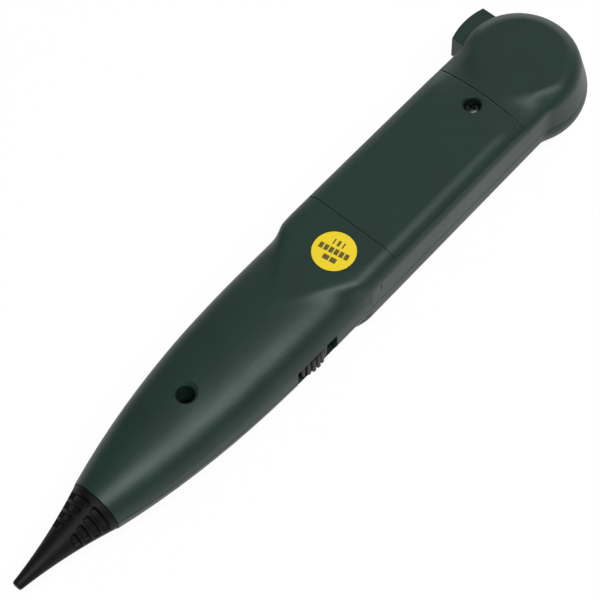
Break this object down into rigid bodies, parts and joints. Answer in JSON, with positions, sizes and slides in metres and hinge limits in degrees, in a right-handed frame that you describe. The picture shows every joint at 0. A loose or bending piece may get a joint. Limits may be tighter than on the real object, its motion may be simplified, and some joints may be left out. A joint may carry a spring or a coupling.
{
  "type": "cable tone tracer probe",
  "caption": "Hand-held inductive cable tone probe with a tapered nose, ribbed pickup tip, side volume wheel, round speaker head and a screwed battery door on its back.",
  "frame": {"origin": "on the flat front face of the handle, on the probe's centre line, 160 mm from the end of the tip", "axes": "+Y from the tip to the speaker head, +X to the side of the volume wheel, +Z out of the back; the probe lies face down on z = 0"},
  "size_m": [0.0423, 0.231, 0.0251],
  "materials": {
    "shell_green": "fine satin mould texture",
    "tip_black": "satin black",
    "screw_black": "black oxide",
    "steel": "plated",
    "sticker_yellow": "coated paper",
    "foam": "open foam",
    "brass": "plated",
    "board": "solder mask",
    "chip": "moulded",
    "can": "sleeved",
    "button_rubber": "soft",
    "cone_paper": "coated paper",
    "magnet": "zinc plated",
    "battery_wrap": "printed wrap left bare"
  },
  "bodies": {
    "casing": {"amplifier_chip": "chip", "battery": "battery_wrap", "battery_snap": "tip_black", "battery_terminals": "steel", "board_screws": "steel", "capacitors": "can", "case_screws": "screw_black", "circuit_board": "board", "earphone_jack": "chip", "front_shell": "shell_green", "inspection_sticker": "sticker_yellow", "jack_collar": "brass", "probe_tip": "tip_black", "push_switch": "chip", "rear_shell": "shell_green", "speaker_basket": "steel", "speaker_cone": "cone_paper", "speaker_magnet": "magnet", "tip_contact": "brass", "volume_base": "chip"},
    "volume_wheel": {"volume_wheel": "tip_black", "wheel_screw": "steel"},
    "power_button": {"power_button": "button_rubber"},
    "battery_door": {"battery_door": "shell_green", "door_screw": "screw_black", "battery_pad": "foam"}
  },
  "joints": [
    {"name": "volume_wheel_turn", "type": "hinge", "parent": "casing", "child": "volume_wheel", "pos_m": [0.0074, -0.0595, 0.0116], "axis": [0, 0, 1], "range_deg": [-140, 140]},
    {"name": "power_button_press", "type": "slide", "parent": "casing", "child": "power_button", "axis": [0, 0, 1], "range_m": [0, 0.0008], "stiffness_N_per_m": 1500},
    {"name": "battery_door_open", "type": "hinge", "parent": "casing", "child": "battery_door", "pos_m": [0, -0.026, 0.025], "axis": [1, 0, 0], "range_deg": [0, 70]}
  ]
}
